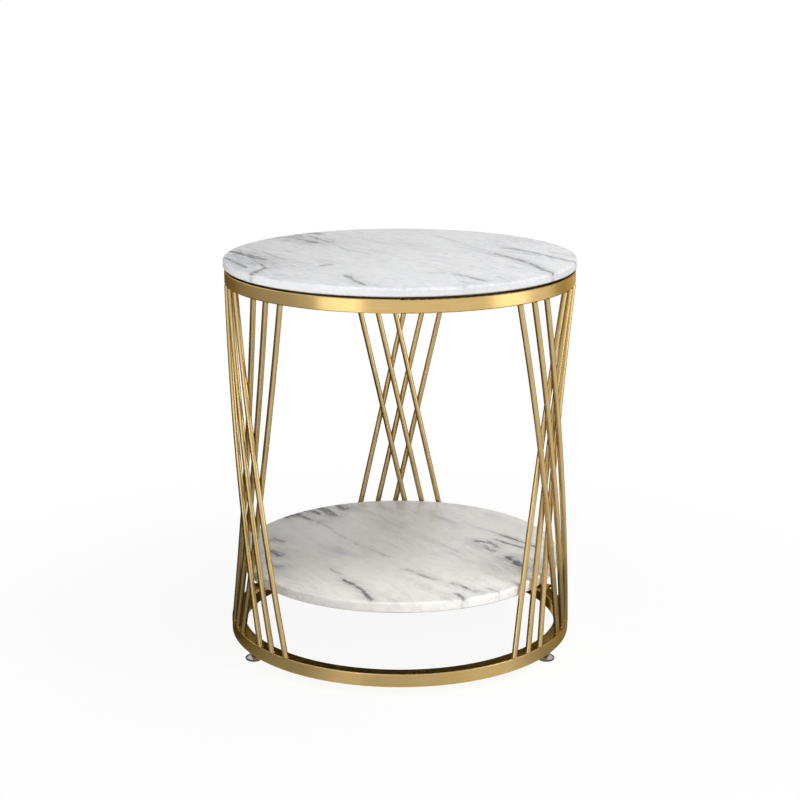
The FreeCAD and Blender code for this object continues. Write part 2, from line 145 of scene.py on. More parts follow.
class SideTableMetal(bpy.types.PropertyGroup):
    """Looks of the metals."""

    gold: colour("Gold", "Plating of the hoops", (0.64, 0.435, 0.16))
    worn_gold: colour("Worn gold", "Plating where brushing has thinned it", (0.70, 0.50, 0.215))
    # Painted shade: a darker copy of the gold for faces that lie in shade or mirror shade, the hoops' inner,
    # top and bottom faces and the shelf tabs
    shaded_gold: colour("Deep gold", "Plating on faces that aren't brushed", (0.56, 0.38, 0.14))
    # Painted shade: the worn tone of that darker gold, used on the shelf tabs
    worn_shaded_gold: colour("Worn deep gold", "The same, where it has thinned", (0.58, 0.40, 0.16))
    rod_gold: colour("Rod gold", "Plating of the rods", (0.53, 0.372, 0.155))
    worn_rod: colour("Worn rod", "Plating of the rods where drawing has thinned it", (0.61, 0.442, 0.20))
    edge_gold: colour("Edge gold", "Tint of the hoops where they are seen at a slant", (0.70, 0.52, 0.28))
    rod_edge: colour("Rod edge", "Tint of the rods where they are seen at a slant", (0.22, 0.13, 0.04))
    brushed: share("Brushed", "Roughness of the brushed hoops", 0.32)
    drawn: share("Drawn", "Roughness of the rods", 0.29)
    cut: share("Cut", "Roughness of the shelf tabs", 0.3)
    welded: share("Welded", "Roughness of the weld beads", 0.36)
    grain: share("Grain", "How far the hoops' brushing stretches their reflections", 0.8)
    chrome: colour("Chrome", "Plating of the feet", (0.46, 0.465, 0.475))
    turned_chrome: colour("Turned chrome", "Plating of the feet in the turning lines", (0.38, 0.385, 0.4))
    # Painted shade: near-black colour for the bell's rim by the floor, standing for the shade where the foot
    # meets the floor
    chrome_rim_shade: colour("Dull chrome", "Rim of the feet near the floor", (0.05, 0.05, 0.055))
    chrome_edge: colour("Chrome edge", "Tint of the feet where they are seen at a slant", (0.02, 0.02, 0.02))
    zinc: colour("Zinc", "Plating of the studs and nuts", (0.60, 0.60, 0.58))
    dull_zinc: colour("Dull zinc", "Darker mottle in that plating", (0.48, 0.48, 0.47))


class SideTableSmall(bpy.types.PropertyGroup):
    """Looks of the pads and soles."""

    silicone: colour("Silicone", "Clear pads under the stones", (0.60, 0.60, 0.59))
    milky: colour("Milky silicone", "Milky places in those pads", (0.48, 0.48, 0.47))
    nylon: colour("Nylon", "Soles of the feet", (0.035, 0.035, 0.037))
    pale_nylon: colour("Pale nylon", "Paler grain in the soles", (0.06, 0.06, 0.062))


class SideTableWeld(bpy.types.PropertyGroup):
    """Sizes of the weld beads behind the rods."""

    bead: length("Bead", "Radius of a weld bead", 0.0011)
    ripple: share("Ripple", "Depth of the ripples, as a share of the bead", 0.2)


class SideTableFoot(bpy.types.PropertyGroup):
    """Sizes of the levelling feet's finer shapes."""

    pitch: length("Thread pitch", "Rise of the stud's thread in one turn", 0.00125)
    thread_depth: length("Thread depth", "Depth of the stud's thread", 0.00065)
    edge: length("Edge", "Rounding of the feet's edges", 0.0005)


class SideTableStage(bpy.types.PropertyGroup):
    """Camera, lamps and floor."""

    camera_place: bpy.props.FloatVectorProperty(
        name="Camera place", description="Where the camera stands", default=(0.0, -2.5259, 0.9902),
        subtype="TRANSLATION", size=3
    )
    camera_pitch: bpy.props.FloatProperty(
        name="Camera pitch", description="How far the camera looks down", default=0.24791, subtype="ANGLE"
    )
    lens: bpy.props.FloatProperty(
        name="Lens", description="Focal length on a 36 mm sensor", default=81.17, unit="CAMERA"
    )
    floor: colour("Floor", "Pale floor", (0.86, 0.86, 0.86))
    surround: bpy.props.FloatProperty(
        name="Surround", description="Strength of the light from all around", default=0.2, min=0
    )


class SideTableSettings(bpy.types.PropertyGroup):
    """All settings of the side table."""

    stone: bpy.props.PointerProperty(type=SideTableStone)
    metal: bpy.props.PointerProperty(type=SideTableMetal)
    small: bpy.props.PointerProperty(type=SideTableSmall)
    weld: bpy.props.PointerProperty(type=SideTableWeld)
    foot: bpy.props.PointerProperty(type=SideTableFoot)
    stage: bpy.props.PointerProperty(type=SideTableStage)


# Shader building

WHITE = (1, 1, 1, 1)
NOISE_MIDDLE = 0.5


def put(tree, socket, value):
    """Links or sets one socket."""
    if isinstance(value, bpy.types.NodeSocket):
        tree.links.new(value, socket)
    else:
        socket.default_value = value


def node(tree, kind, inputs=None, **settings):
    """Adds a node, sets its options, and sets or links its inputs."""
    made = tree.nodes.new(kind)
    for key, value in settings.items():
        setattr(made, key, value)
    for key, value in (inputs or {}).items():
        put(tree, made.inputs[key], value)
    return made


def maths(tree, operation, first, second=0.0, clamp=False):
    """Result of one sum on two numbers."""
    made = node(tree, "ShaderNodeMath", {0: first, 1: second}, operation=operation, use_clamp=clamp)
    return made.outputs[0]


def times(tree, first, second, clamp=False):
    """Product of two numbers."""
    return maths(tree, "MULTIPLY", first, second, clamp)


def vector(tree, operation, first, second=(0, 0, 0)):
    """Result of one sum on two vectors."""
    return node(tree, "ShaderNodeVectorMath", {0: first, 1: second}, operation=operation).outputs[0]


def span(tree, point):
    """Length of a vector."""
    return node(tree, "ShaderNodeVectorMath", {0: point}, operation="LENGTH").outputs["Value"]


def flattened(tree, point):
    """Point brought down to the level of the floor."""
    return vector(tree, "MULTIPLY", point, (1, 1, 0))


def parts_of(tree, point):
    """The three numbers of a vector."""
    return node(tree, "ShaderNodeSeparateXYZ", {0: point}).outputs


def stretched(tree, point, turn, longer):
    """Point in a grain that runs level at an angle and is so many times longer than wide."""
    made = node(
        tree, "ShaderNodeMapping", {"Vector": point, "Rotation": (0, 0, turn), "Scale": (longer, 1, 1)},
        vector_type="TEXTURE",
    )
    return made.outputs[0]


def noise(tree, point, scale, detail=3.0, roughness=0.5, distortion=0.0):
    """Soft noise from nought to one at a point."""
    made = node(
        tree, "ShaderNodeTexNoise",
        {"Vector": point, "Scale": scale, "Detail": detail, "Roughness": roughness, "Distortion": distortion},
    )
    return made.outputs[0]


def wander(tree, point, scale, reach, detail=2.0):
    """Point moved about by noise, by up to half the reach each way."""
    made = node(tree, "ShaderNodeTexNoise", {"Vector": point, "Scale": scale, "Detail": detail})
    shift = vector(tree, "SUBTRACT", made.outputs[1], (NOISE_MIDDLE,) * 3)
    return vector(tree, "ADD", point, vector(tree, "MULTIPLY", shift, (reach,) * 3))


def ramp(tree, value, low, high, start=0.0, end=1.0, smooth=True):
    """Value carried from one span to another."""
    made = node(
        tree, "ShaderNodeMapRange",
        {"Value": value, "From Min": low, "From Max": high, "To Min": start, "To Max": end},
        interpolation_type="SMOOTHSTEP" if smooth else "LINEAR",
    )
    return made.outputs[0]


def blend(tree, factor, first, second):
    """Colour between two colours."""
    made = node(tree, "ShaderNodeMix", data_type="RGBA")
    wanted = {"Factor": factor, "A": first, "B": second}
    for socket in made.inputs:
        if socket.enabled and socket.name in wanted:
            put(tree, socket, wanted[socket.name])
    return next(socket for socket in made.outputs if socket.enabled)


def rgba(value):
    """Colour setting as a node colour."""
    return (*value, 1.0)


def new_material(name):
    """Material with a principled shader, and its point in the table's frame."""
    material = bpy.data.materials.new(name)
    material.use_nodes = True
    tree = material.node_tree
    shader = tree.nodes["Principled BSDF"]
    point = node(tree, "ShaderNodeTexCoord").outputs["Object"]
    return material, tree, shader, point


def feed(tree, shader, **sockets):
    """Sets or links the shader's inputs, with underscores for spaces."""
    for key, value in sockets.items():
        put(tree, shader.inputs[key.replace("_", " ")], value)


def relief(tree, shader, height, strength, distance):
    """Gives the shader's surface a fine relief."""
    made = node(tree, "ShaderNodeBump", {"Height": height, "Strength": strength, "Distance": distance})
    tree.links.new(made.outputs[0], shader.inputs["Normal"])


def wear(obj, material):
    """Puts one material on an object."""
    obj.data.materials.clear()
    obj.data.materials.append(material)


# Mesh building

def new_piece(name, vertices, faces, material, body, slot, sharp=35):
    """Mesh object that rides on a body."""
    mesh = bpy.data.meshes.new(name)
    mesh.from_pydata(vertices, [], faces)
    mesh.validate()
    mesh.shade_smooth()
    mesh.set_sharp_from_angle(angle=math.radians(sharp))
    piece = bpy.data.objects.new(name, mesh)
    bpy.context.scene.collection.objects.link(piece)
    wear(piece, material)
    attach(piece, body)
    return piece


SAME_PLACE = 1e-4


def rounded(corners, radius, steps=4):
    """Outline whose corners off the axis are rounded, given as a closed loop of radius and height."""
    outline = []
    count = len(corners)
    for index, corner in enumerate(corners):
        here = Vector(corner)
        if corner[0] == 0:
            outline.append(corner)
            continue
        before = Vector(corners[index - 1]) - here
        after = Vector(corners[(index + 1) % count]) - here
        back = here + before.normalized() * min(radius, before.length / 2)
        on = here + after.normalized() * min(radius, after.length / 2)
        for step in range(steps + 1):
            t = step / steps
            point = back * (1 - t) ** 2 + here * 2 * t * (1 - t) + on * t ** 2
            outline.append((point.x, point.y))
    return [place for index, place in enumerate(outline) if math.dist(place, outline[index - 1]) > SAME_PLACE]


def in_metres(outline):
    """Outline given in millimetres, in metres."""
    return [(radius * MM, height * MM) for radius, height in outline]


def turned(outline, segments=96):
    """Vertices and faces of a closed outline turned about the upright axis."""
    vertices, rings, faces = [], [], []
    for radius, height in outline:
        ring = []
        for step in range(segments if radius > 0 else 1):
            angle = 2 * math.pi * step / segments
            ring.append(len(vertices))
            vertices.append((radius * math.cos(angle), radius * math.sin(angle), height))
        rings.append(ring)
    for index, ring in enumerate(rings):
        other = rings[(index + 1) % len(rings)]
        for step in range(segments):
            following = (step + 1) % segments
            loop = []
            for corner in (
                ring[step % len(ring)], ring[following % len(ring)],
                other[following % len(other)], other[step % len(other)],
            ):
                if corner not in loop:
                    loop.append(corner)
            if len(loop) > 2:
                faces.append(loop)
    return vertices, faces


def joined(shapes):
    """One list of vertices and faces from several."""
    vertices, faces = [], []
    for some_vertices, some_faces in shapes:
        start = len(vertices)
        vertices += some_vertices
        faces += [[start + corner for corner in face] for face in some_faces]
    return vertices, faces


# Stone: scale, detail, roughness and distortion of each noise, and the spans that carry it into a tone

VEIN_TURN = math.radians(-55)
CORE_SPAN = (0.0, 1.0, 1.1, 0.0)
HALO_SPAN = (0.0, 3.5, 0.45, 0.0)
WANDERS = ((9, 0.016), (60, 0.006), (240, 0.003))
LONG_GRAIN = 4.0
SHORT_GRAIN = 2.0
HAZE_NOISE = (5.0, 2.0)
HAZE_SPAN = (0.35, 0.65)
HAZE_TONES = (0.2, 1.0)
DRIFT_NOISE = (32.0, 7.0, 0.66)
DRIFT_SPAN = (0.46, 0.76)
STREAK_NOISE = (150.0, 6.0, 0.7)
STREAK_SPAN = (0.36, 0.6, 0.2, 1.35)
HAIR_NOISE = (34.0, 7.0, 0.62, 0.3)
HAIR_SPAN = (0.0, 0.02, 1.0, 0.0)
HAIR_TONE = 0.3
MOTTLE_NOISE = (120.0, 5.0, 0.7)
MOTTLE_SPAN = (0.42, 0.68)
LEAST_MOTTLE = 0.6
TOP_FACE_SPAN = (0.0, 0.8, 0.35, 1.0)
UNDERSIDE_SPAN = (-0.95, -0.8, 1.0, 0.0)
POLISH_NOISE = (60, 4.0)
POLISH_SPAN = (0.2, 0.8)
POLISH_LESS = 0.05
POLISH_MORE = 0.07
SAWN_ROUGHNESS = 0.8
STONE_BUMP_NOISE = (900, 2.0)
STONE_BUMP = (0.02, 0.0002)


def vein_group():
    """Node group that draws one vein along a line: a dark core in a pale halo."""
    tree = bpy.data.node_groups.new("stone_vein", "ShaderNodeTree")
    for name, kind in (("Point", "Vector"), ("Start", "Vector"), ("Run", "Vector"),
                       ("Inverse", "Float"), ("Width", "Float"), ("Depth", "Float")):
        tree.interface.new_socket(name=name, in_out="INPUT", socket_type=f"NodeSocket{kind}")
    tree.interface.new_socket(name="Vein", in_out="OUTPUT", socket_type="NodeSocketFloat")
    given = tree.nodes.new("NodeGroupInput").outputs
    result = tree.nodes.new("NodeGroupOutput")
    offset = vector(tree, "SUBTRACT", given["Point"], given["Start"])
    reach = node(tree, "ShaderNodeVectorMath", {0: offset, 1: given["Run"]}, operation="DOT_PRODUCT")
    along = times(tree, reach.outputs["Value"], given["Inverse"], clamp=True)
    nearest = node(tree, "ShaderNodeVectorMath", {0: given["Run"], "Scale": along}, operation="SCALE")
    gap = span(tree, vector(tree, "SUBTRACT", offset, nearest.outputs[0]))
    aside = maths(tree, "DIVIDE", gap, given["Width"])
    core = ramp(tree, aside, *CORE_SPAN)
    halo = ramp(tree, aside, *HALO_SPAN)
    tone = times(tree, maths(tree, "ADD", core, halo), given["Depth"])
    tree.links.new(tone, result.inputs["Vein"])
    return tree


def vein_tone(tree, point, lines):
    """Tone of all the veins of a stone at a point."""
    group = bpy.data.node_groups.get("stone_vein") or vein_group()
    flat = flattened(tree, point)
    tone = 0.0
    for width, depth, places in lines:
        for start, end in zip(places, places[1:]):
            start = Vector((*start, 0)) * MM
            run = Vector((*end, 0)) * MM - start
            made = node(
                tree, "ShaderNodeGroup", {
                    "Point": flat, "Start": start, "Run": run, "Inverse": 1 / run.length_squared,
                    "Width": width * MM, "Depth": depth,
                }, node_tree=group,
            )
            tone = maths(tree, "MAXIMUM", tone, made.outputs["Vein"])
    return tone


def marble(name, settings, lines, white, drifts, mottle):
    """Polished white marble with placed veins, hairlines, soft drifts of grey and a fine mottle."""
    material, tree, shader, point = new_material(name)
    loose = point
    for scale, reach in WANDERS:
        loose = wander(tree, loose, scale, reach)
    grain = stretched(tree, loose, VEIN_TURN, LONG_GRAIN)
    haze = ramp(tree, noise(tree, point, *HAZE_NOISE), *HAZE_SPAN, *HAZE_TONES)
    drift = ramp(tree, noise(tree, grain, *DRIFT_NOISE), *DRIFT_SPAN)
    streak = ramp(tree, noise(tree, grain, *STREAK_NOISE), *STREAK_SPAN)
    ridge = maths(tree, "SUBTRACT", noise(tree, grain, *HAIR_NOISE), NOISE_MIDDLE)
    hair = times(tree, ramp(tree, maths(tree, "ABSOLUTE", ridge), *HAIR_SPAN), haze)
    crystal = noise(tree, stretched(tree, loose, VEIN_TURN, SHORT_GRAIN), *MOTTLE_NOISE)
    patchy = ramp(tree, haze, *HAZE_TONES, mottle * LEAST_MOTTLE, mottle, smooth=False)
    veins = times(tree, vein_tone(tree, loose, lines), streak, clamp=True)
    facing = parts_of(tree, node(tree, "ShaderNodeNewGeometry").outputs["Normal"])[2]
    face = ramp(tree, facing, *TOP_FACE_SPAN)
    ground = rgba(white)
    for depth, tone in (
        (times(tree, times(tree, times(tree, drift, haze), drifts), face), settings.cloud),
        (times(tree, hair, HAIR_TONE), settings.cloud),
        (times(tree, times(tree, ramp(tree, crystal, *MOTTLE_SPAN), patchy), face), settings.cloud),
        (times(tree, veins, face), settings.vein),
    ):
        ground = blend(tree, depth, ground, rgba(tone))
    # Painted shade: faces turned downwards take the dark underside colour, and are made rough
    below = ramp(tree, facing, *UNDERSIDE_SPAN)
    polish = ramp(
        tree, noise(tree, point, *POLISH_NOISE), *POLISH_SPAN,
        settings.polish - POLISH_LESS, settings.polish + POLISH_MORE,
    )
    feed(
        tree, shader,
        Base_Color=blend(tree, below, ground, rgba(settings.underside_shade)),
        Roughness=maths(tree, "MAXIMUM", polish, times(tree, below, SAWN_ROUGHNESS)),
    )
    relief(tree, shader, noise(tree, point, *STONE_BUMP_NOISE), *STONE_BUMP)
    return material


class SIDETABLE_OT_stones(bpy.types.Operator):
    """Finish the round top and the shelf as veined marble"""

    bl_idname = "sidetable.stones"
    bl_label = "Stones"

    def execute(self, context):
        settings = context.scene.side_table.stone
        top = marble(
            "top_marble_polished", settings, TOP_VEINS,
            settings.top_white, settings.top_drifts, settings.top_mottle,
        )
        wear(NODES["top_slab"], top)
        shelf = marble(
            "shelf_marble_polished", settings, SHELF_VEINS,
            settings.shelf_white_and_painted_light, settings.shelf_drifts, settings.shelf_mottle,
        )
        wear(NODES["shelf_slab"], shelf)
        return {"FINISHED"}


# Gold frame: noises as for the stone, and brush lines by the metre

BRUSH_NOISE = (1.0, 3.0, 0.6)
UNEVEN_NOISE = (14, 3.0)
BRUSH_SHARE = 0.6
THIN_SPAN = (0.35, 0.65)
GOLD_POLISH_SPAN = (0.25, 0.75)
GOLD_POLISH_REACH = 0.05
GOLD_BUMP = (0.008, 0.0001)
HOOP_LINES_ACROSS = 1300
HOOP_LINES_ALONG = 14
ROD_LINES = (150, 150, 4)
SHADED_FACE_SPAN = (0.1, 0.6, 1.0, 0.0)
UNBRUSHED_POLISH = 0.45
QUARTER_TURN = 0.25


def gold_plating(name, plating, worn, edge, grain_point, roughness):
    """Gold-coloured plating with fine brush lines and faint uneven tone."""
    material, tree, shader, point = new_material(name)
    lines = noise(tree, grain_point(tree, point), *BRUSH_NOISE)
    uneven = times(tree, noise(tree, point, *UNEVEN_NOISE), 1 - BRUSH_SHARE)
    tone = maths(tree, "ADD", times(tree, lines, BRUSH_SHARE), uneven)
    polish = (roughness - GOLD_POLISH_REACH, roughness + GOLD_POLISH_REACH)
    feed(
        tree, shader,
        Base_Color=blend(tree, ramp(tree, tone, *THIN_SPAN), rgba(plating), rgba(worn)),
        Metallic=1.0,
        Specular_Tint=rgba(edge),
        Roughness=ramp(tree, tone, *GOLD_POLISH_SPAN, *polish),
    )
    relief(tree, shader, lines, *GOLD_BUMP)
    return material, tree, shader, point


def hoop_grain(tree, point):
    """Brush lines that run round a hoop on all four of its faces."""
    numbers = parts_of(tree, point)
    radius = span(tree, flattened(tree, point))
    across = times(tree, maths(tree, "ADD", radius, numbers[2]), HOOP_LINES_ACROSS)
    along = [times(tree, number, HOOP_LINES_ALONG) for number in numbers[:2]]
    return node(tree, "ShaderNodeCombineXYZ", {0: along[0], 1: along[1], 2: across}).outputs[0]


def rod_grain(tree, point):
    """Draw lines that run up a rod."""
    return vector(tree, "MULTIPLY", point, ROD_LINES)


class SIDETABLE_OT_hoops(bpy.types.Operator):
    """Finish the two square-tube hoops as brushed gold"""

    bl_idname = "sidetable.hoops"
    bl_label = "Hoops"

    def execute(self, context):
        settings = context.scene.side_table.metal
        gold, tree, shader, point = gold_plating(
            "hoop_gold_brushed", settings.gold, settings.worn_gold, settings.edge_gold,
            hoop_grain, settings.brushed,
        )
        outward = node(
            tree, "ShaderNodeVectorMath",
            {0: vector(tree, "NORMALIZE", flattened(tree, point)),
             1: node(tree, "ShaderNodeNewGeometry").outputs["Normal"]},
            operation="DOT_PRODUCT",
        ).outputs["Value"]
        brushed = shader.inputs["Base Color"].links[0].from_socket
        rough = shader.inputs["Roughness"].links[0].from_socket
        # Painted shade: faces that don't face outwards take the darker shaded gold
        inner = ramp(tree, outward, *SHADED_FACE_SPAN)
        around = node(tree, "ShaderNodeTangent", direction_type="RADIAL", axis="Z")
        feed(
            tree, shader,
            Base_Color=blend(tree, inner, brushed, rgba(settings.shaded_gold)),
            Roughness=times(tree, rough, ramp(tree, inner, 0.0, 1.0, 1.0, UNBRUSHED_POLISH)),
            Anisotropic=settings.grain,
            Anisotropic_Rotation=QUARTER_TURN,
            Tangent=around.outputs[0],
        )
        for name in ("top_ring", "base_ring"):
            wear(NODES[name], gold)
        return {"FINISHED"}


class SIDETABLE_OT_rods(bpy.types.Operator):
    """Finish the crossing rods and the shelf tabs as drawn gold"""

    bl_idname = "sidetable.rods"
    bl_label = "Rods and tabs"

    def execute(self, context):
        settings = context.scene.side_table.metal
        gold = gold_plating(
            "rod_gold_drawn", settings.rod_gold, settings.worn_rod, settings.rod_edge,
            rod_grain, settings.drawn,
        )[0]
        for name in RODS:
            wear(NODES[name], gold)
        # Painted shade: the shelf tabs, which sit in the shade under the shelf, take the darker shaded gold
        deep = gold_plating(
            "tab_gold_shaded", settings.shaded_gold, settings.worn_shaded_gold, settings.edge_gold,
            rod_grain, settings.cut,
        )[0]
        for name in SHELF_TABS:
            wear(NODES[name], deep)
        return {"FINISHED"}


# Welds

ROD_RADIUS = 4 * MM
BEAD_STEPS = 40
BEAD_SIDES = 10
BEAD_HALF_TURN = math.radians(105)
BEAD_OUT_SHARE = 0.3
BEAD_UP_SHARE = 0.2
RIPPLE_RATE = 10.4
TAPER_POWER = 6
TAPER_LEAST = 0.02
LEVEL_REACH = 0.05 * MM
BEAD_SHARP = 80


def rod_end(name, top):
    """Middle of a rod's level end."""
    points = [vertex.co for vertex in NODES[name].data.vertices]
    level = (max if top else min)(point.z for point in points)
    ring = [point for point in points if abs(point.z - level) < LEVEL_REACH]
    low = Vector([min(point[axis] for point in ring) for axis in range(3)])
    high = Vector([max(point[axis] for point in ring) for axis in range(3)])
    return (low + high) / 2


def weld_bead(settings, centre, up):
    """Rippled bead round the side of a rod that faces the table's axis."""
    inward = math.atan2(-centre.y, -centre.x)
    vertices, faces = [], []
    for step in range(BEAD_STEPS + 1):
        share_along = 2 * step / BEAD_STEPS - 1
        angle = inward + BEAD_HALF_TURN * share_along
        ripple = abs(math.sin(angle * RIPPLE_RATE))
        taper = math.sqrt(max(0.0, 1 - share_along ** TAPER_POWER)) + TAPER_LEAST
        size = settings.bead * taper * (1 - settings.ripple * ripple)
        out = Vector((math.cos(angle), math.sin(angle), 0))
        middle = centre + out * (ROD_RADIUS + settings.bead * BEAD_OUT_SHARE)
        middle.z += up * settings.bead * BEAD_UP_SHARE
        for side in range(BEAD_SIDES):
            turn = 2 * math.pi * side / BEAD_SIDES
            vertices.append(middle + out * (size * math.cos(turn)) + Vector((0, 0, size * math.sin(turn))))
    for step in range(BEAD_STEPS):
        for side in range(BEAD_SIDES):
            a = step * BEAD_SIDES + side
            b = step * BEAD_SIDES + (side + 1) % BEAD_SIDES
            faces.append([a, a + BEAD_SIDES, b + BEAD_SIDES, b])
    faces.append(list(range(BEAD_SIDES)))
    faces.append([BEAD_STEPS * BEAD_SIDES + side for side in range(BEAD_SIDES)][::-1])
    return vertices, faces


class SIDETABLE_OT_welds(bpy.types.Operator):
    """Lay the weld beads behind the rods' ends on both hoops"""

    bl_idname = "sidetable.welds"
    bl_label = "Welds"

    def execute(self, context):
        settings = context.scene.side_table
        metal = settings.metal
        gold = gold_plating(
            "weld_gold", metal.rod_gold, metal.worn_rod, metal.edge_gold, rod_grain, metal.welded
        )[0]
        for name, top, up in (("weld_beads_top", True, -1), ("weld_beads_base", False, 1)):
            beads = [weld_bead(settings.weld, rod_end(rod, top), up) for rod in RODS]
            new_piece(name, *joined(beads), gold, "frame", "gold_metal", sharp=BEAD_SHARP)
        return {"FINISHED"}


# Small parts

MOTTLED_SPAN = (0.3, 0.7)
CHROME_LINES = 9000
CHROME_NOISE = (1.0, 2.0)
CHROME_SPAN = (0.35, 0.65)
CHROME_POLISH = (0.06, 0.14)
CHROME_BUMP = (0.03, 0.00005)
RIM_SHADE_SPAN = (3.0 * MM, 4.2 * MM, 0.85, 0.0)


def mottled(name, first, second, grain, polish, bump, **sockets):
    """Material with a fine mottle of two colours, which also varies its polish and its relief."""
    material, tree, shader, point = new_material(name)
    mottle = noise(tree, point, *grain)
    feed(
        tree, shader,
        Base_Color=blend(tree, ramp(tree, mottle, *MOTTLED_SPAN), rgba(first), rgba(second)),
        Roughness=ramp(tree, mottle, *MOTTLED_SPAN, *polish),
        **sockets,
    )
    relief(tree, shader, mottle, *bump)
    return material


def zinc_plating(settings):
    """Dull zinc with a faint mottle."""
    return mottled(
        "zinc_plated", settings.zinc, settings.dull_zinc,
        grain=(500, 4.0, 0.6), polish=(0.28, 0.42), bump=(0.05, 0.0001), Metallic=1.0,
    )


def moulded_nylon(settings):
    """Dull moulded nylon with a fine grain."""
    return mottled(
        "sole_nylon", settings.nylon, settings.pale_nylon,
        grain=(2600, 3.0, 0.6), polish=(0.5, 0.7), bump=(0.15, 0.0001),
    )


def clear_silicone(settings):
    """Slightly milky clear silicone."""
    return mottled(
        "pad_silicone", settings.silicone, settings.milky,
        grain=(380, 3.0), polish=(0.22, 0.4), bump=(0.05, 0.0001), Transmission_Weight=0.9, IOR=1.41,
    )


def chrome_plating(settings):
    """Bright plating with faint turning lines round the bell, and painted shade darkening it near the floor.
    """
    material, tree, shader, point = new_material("bell_chrome")
    height = parts_of(tree, point)[2]
    radius = span(tree, flattened(tree, point))
    rings = node(
        tree, "ShaderNodeCombineXYZ",
        {0: times(tree, radius, CHROME_LINES), 1: times(tree, height, CHROME_LINES)},
    ).outputs[0]
    lines = noise(tree, rings, *CHROME_NOISE)
    turning = ramp(tree, lines, *CHROME_SPAN)
    plating = blend(tree, turning, rgba(settings.chrome), rgba(settings.turned_chrome))
    # Painted shade: the bell turns dark towards the floor
    painted_rim_shade = ramp(tree, height, *RIM_SHADE_SPAN)
    feed(
        tree, shader,
        Base_Color=blend(tree, painted_rim_shade, plating, rgba(settings.chrome_rim_shade)),
        Metallic=1.0,
        Specular_Tint=rgba(settings.chrome_edge),
        Roughness=ramp(tree, lines, *MOTTLED_SPAN, *CHROME_POLISH),
    )
    relief(tree, shader, lines, *CHROME_BUMP)
    return material


class SIDETABLE_OT_pads(bpy.types.Operator):
    """Finish the clear pads under both stones and the nuts in the lower hoop"""

    bl_idname = "sidetable.pads"
    bl_label = "Pads and nuts"

    def execute(self, context):
        settings = context.scene.side_table
        silicone = clear_silicone(settings.small)
        for name in TOP_PADS + SHELF_PADS:
            wear(NODES[name], silicone)
        zinc = zinc_plating(settings.metal)
        for name in RIVET_NUTS:
            wear(NODES[name], zinc)
        return {"FINISHED"}


# Levelling feet: heights and radii in millimetres, and the sole's underside by share of its radius

BORE = 4.05
STUD = 4.0
HEAD = 6.2
HEAD_LEVELS = (2.5, 4.9)
COLLAR_LEVELS = (8.2, 10.0)
COLLAR_FLAT = 5.6
COLLAR_ROUND = 6.1
NECK = 5.55
RIM_WALL = 0.8
RIM_HEIGHT = 2.0
HOLLOW = 6.5
HOLLOW_TOP = 5.2
RECESS_TOP = 2.2
SOLE_UNDERSIDE = (
    (0, 0.5), (0.35, 0.5), (0.4, 0.0), (0.66, 0.0), (0.68, 0.35), (0.74, 0.35), (0.76, 0.0), (1, 0.0),
)
COLLAR_CHAMFER = 0.35
COLLAR_SIDES = 72
COLLAR_OVERLAP = 0.4
HEAD_SIDES = 48
THREAD_SIDES = 48
ROWS_PER_TURN = 10
THREAD_FLANK = 2.6
THREAD_FLAT = 0.15
THREAD_AT_TIP = 0.25
TIP_CHAMFER = 1.0


def seat(piece, node_name):
    """Stands a piece built about its own axis at a foot's place, one corner of its hexagon outward."""
    low, high = (Vector(corner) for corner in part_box(node_name))
    middle = (low + high) / 2
    outward = math.atan2(middle.y, middle.x)
    piece.data.transform(Matrix.Translation((middle.x, middle.y, 0)) @ Matrix.Rotation(outward, 4, "Z"))


def bell_shape(node_name, edge):
    """Coned bell with a rounded rim, hollow underneath."""
    low, high = (Vector(corner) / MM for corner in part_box(node_name))
    rim = (high.x - low.x) / 2
    recess = rim - RIM_WALL
    outline = [
        (recess, low.z), (rim, low.z), (rim, low.z + RIM_HEIGHT), (NECK, high.z), (BORE, high.z),
        (BORE, HOLLOW_TOP), (HOLLOW, HOLLOW_TOP), (HOLLOW, RECESS_TOP), (recess, RECESS_TOP),
    ]
    return turned(in_metres(rounded(outline, edge / MM)))


def sole_shape(node_name, edge):
    """Nylon disc with a rounded edge and a shallow dish and groove under it."""
    low, high = (Vector(corner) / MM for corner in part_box(node_name))
    rim = (high.x - low.x) / 2
    outline = [(rim * part, height) for part, height in SOLE_UNDERSIDE] + [(rim, high.z), (0, high.z)]
    return turned(in_metres(rounded(outline, edge / MM)))


def hexagon(angle, flat):
    """Distance from the axis to a hexagon's side, with a corner at nought."""
    sixth = math.pi / 3
    return flat / math.cos(angle % sixth - sixth / 2)


def stacked(rows, sides):
    """Faces between rings of vertices that lie one above the other, closed at both ends."""
    faces = []
    for row in range(rows - 1):
        for step in range(sides):
            a, b = row * sides + step, row * sides + (step + 1) % sides
            faces.append([a, b, b + sides, a + sides])
    faces.append(list(range(sides))[::-1])
    faces.append([(rows - 1) * sides + step for step in range(sides)])
    return faces


def collar_shape():
    """Hexagon collar with its corners chamfered round."""
    low, high = COLLAR_LEVELS
    rows = ((low, True), (low + COLLAR_CHAMFER, False), (high - COLLAR_CHAMFER, False), (high, True))
    vertices = []
    for height, cut in rows:
        for step in range(COLLAR_SIDES):
            angle = 2 * math.pi * step / COLLAR_SIDES
            radius = hexagon(angle, COLLAR_FLAT)
            if cut:
                radius = min(radius, COLLAR_ROUND)
            vertices.append((radius * math.cos(angle) * MM, radius * math.sin(angle) * MM, height * MM))
    return vertices, stacked(len(rows), COLLAR_SIDES)


